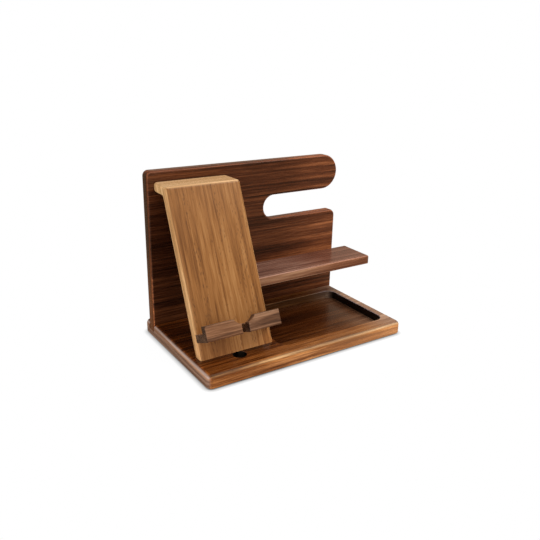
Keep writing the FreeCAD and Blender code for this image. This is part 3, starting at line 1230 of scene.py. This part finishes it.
@dataclass
class Studio:
    """Pale floor, plain background, soft lamps and the camera."""

    stands: str = "base_board"
    floor_size: float = 12.0
    floor_colour: Colour = (0.70, 0.70, 0.70, 1.0)
    shadow_colour: Colour = (0.105, 0.105, 0.105, 1.0)
    shadow_lift: float = 0.943
    contact_reach: float = 5.6 * MM
    white_from: float = 60 * MM
    world_light: float = 0.42
    horizon: Reach = (-0.35, 0.15)
    room_in_gloss: Reach = (0.15, 0.45)
    floor_in_gloss: float = 0.32
    room_gloss: Colour = (1.0, 0.80, 0.60, 1.0)
    floor_gloss: Colour = (1.0, 0.66, 0.42, 1.0)
    sensor: float = 36.0
    lens: float = 40.962
    camera_place: Triple = (-0.37208, -0.54145, 0.31529)
    camera_up: Triple = (0.17108412, 0.29937625, 0.93867145)
    camera_forward: Triple = (0.51428497, 0.78549246, -0.34425654)
    lamps: tuple[Softbox, ...] = (
        Softbox("key", (0.77, -0.63, 1.11), 0.5, 10.0),
        Softbox("overhead", (0.25, -0.15, 1.3), 1.2, 3.5),
        Softbox("front_fill", (-0.35, -1.5, 0.55), 1.4, 9.0),
        Softbox("left_fill", (-1.2, -0.4, 0.8), 1.2, 5.0),
    )

    def make(self) -> None:
        """Set up the whole studio."""
        self.world()
        self.floor()
        for lamp in self.lamps:
            lamp.make()
        self.camera()
        bpy.context.scene.view_settings.view_transform = "Standard"
        LOG.info("studio ready")

    def world(self) -> None:
        """Light the scene evenly and show white behind the object."""
        world = bpy.data.worlds.new("plain_studio")
        world.use_nodes = True
        sheet = NodeSheet(world.node_tree)
        light = sheet.add("ShaderNodeBackground", {"Strength": self.world_light})
        colour, strength = self.shown_colour(sheet, self.room_gloss), self.backdrop_strength(sheet)
        white = sheet.add("ShaderNodeBackground", {"Color": colour, "Strength": strength})
        shown = sheet.shaders(self.shows_background(sheet), light, white)
        sheet.node("ShaderNodeOutputWorld", {"Surface": shown})
        bpy.context.scene.world = world

    def in_gloss(self, sheet: NodeSheet) -> Socket:
        """Return one for the rays of gloss."""
        return sheet.add("ShaderNodeLightPath", output="Is Glossy Ray")

    def shows_background(self, sheet: NodeSheet) -> Socket:
        """Tell the rays that show the background from those that light the object.

        Args:
            sheet: The sheet of the world or the floor.

        Returns:
            One for the rays that show it and zero for the others.
        """
        path = sheet.node("ShaderNodeLightPath").outputs
        seen = sheet.math("MAXIMUM", path["Is Camera Ray"], path["Is Transmission Ray"])
        return sheet.math("MAXIMUM", seen, path["Is Glossy Ray"])

    def shown_colour(self, sheet: NodeSheet, warm: Colour) -> Socket:
        """Return white for the background, or a warm tone where gloss shows it."""
        return sheet.blend(self.in_gloss(sheet), WHITE, warm)

    def backdrop_strength(self, sheet: NodeSheet) -> Socket:
        """Brighten each direction: the room before the object is dim in its gloss.

        Args:
            sheet: The world's sheet.

        Returns:
            The strength of the background.
        """
        direction = sheet.parts(sheet.add("ShaderNodeTexCoord", output="Generated"))
        behind = sheet.spread(direction[Axis.Y], *self.horizon, *self.room_in_gloss)
        return sheet.math("MAXIMUM", sheet.math("SUBTRACT", 1.0, self.in_gloss(sheet)), behind)

    def floor(self) -> None:
        """Lay the pale floor."""
        half = self.floor_size / 2
        mesh = bpy.data.meshes.new("floor")
        corners = [(-half, -half, 0), (half, -half, 0), (half, half, 0), (-half, half, 0)]
        mesh.from_pydata(corners, [], [(0, 1, 2, 3)])
        mesh.materials.append(self.floor_material())
        floor = put("floor", mesh)

    def floor_material(self) -> bpy.types.Material:
        """Paint the floor, which keeps the object's soft shadow and fades to plain white.

        Returns:
            The floor's material, clear from below.
        """
        material, sheet = new_material("pale_floor")
        paint = sheet.add("ShaderNodeBsdfDiffuse", {"Color": self.floor_colour})
        shade = sheet.add("ShaderNodeBsdfDiffuse", {"Color": self.shadow_colour})
        contact = sheet.add("ShaderNodeAmbientOcclusion", {"Distance": self.contact_reach}, "AO")
        glow = sheet.product(contact, self.shadow_lift)
        lift = sheet.add("ShaderNodeEmission", {"Strength": glow})
        lit = sheet.add("ShaderNodeAddShader", {0: shade, 1: lift})
        glossy = self.in_gloss(sheet)
        colour = self.shown_colour(sheet, self.floor_gloss)
        strength = sheet.spread(glossy, 0.0, 1.0, 1.0, self.floor_in_gloss)
        white = sheet.add("ShaderNodeEmission", {"Color": colour, "Strength": strength})
        far = sheet.math("MAXIMUM", sheet.spread(self.distance(sheet), 0.0, self.white_from), glossy)
        shown = sheet.shaders(far, lit, white)
        seen = sheet.shaders(self.shows_background(sheet), paint, shown)
        below = sheet.add("ShaderNodeNewGeometry", output="Backfacing")
        clear = sheet.add("ShaderNodeBsdfTransparent")
        sheet.node("ShaderNodeOutputMaterial", {"Surface": sheet.shaders(below, seen, clear)})
        return material

    def distance(self, sheet: NodeSheet) -> Socket:
        """Measure how far a point of the floor lies from what stands on it.

        Args:
            sheet: The floor's sheet.

        Returns:
            The distance in metres.
        """
        low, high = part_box(self.stands)
        middle, half = (low + high) / 2, (high - low) / 2
        aside = sheet.vector("SUBTRACT", sheet.place(), (middle.x, middle.y, 0.0))
        beyond = sheet.vector("SUBTRACT", sheet.vector("ABSOLUTE", aside), (half.x, half.y, 0.0))
        return sheet.length(sheet.vector("MAXIMUM", beyond, (0.0, 0.0, 0.0)))

    def camera(self) -> None:
        """Stand the camera in front of the object, to its left and above it."""
        data = bpy.data.cameras.new("camera")
        data.sensor_width = self.sensor
        data.lens = self.lens
        camera = put("camera", data)
        up, back = Vector(self.camera_up), -Vector(self.camera_forward)
        turn = Matrix((up.cross(back), up, back)).transposed()
        camera.matrix_world = Matrix.Translation(self.camera_place) @ turn.to_4x4()
        bpy.context.scene.camera = camera


def main() -> None:
    """Build every sub-assembly in order."""
    logging.basicConfig(level=logging.INFO, format="%(name)s: %(message)s")
    boards = (BaseBoard(), BackPanel(), GlassesShelf(), PhoneStand(), PhoneLedge(), GluedTongues())
    for assembly in (*boards, FootPads(), PanelScrews(), Studio()):
        assembly.make()


if __name__ == "__main__":
    main()
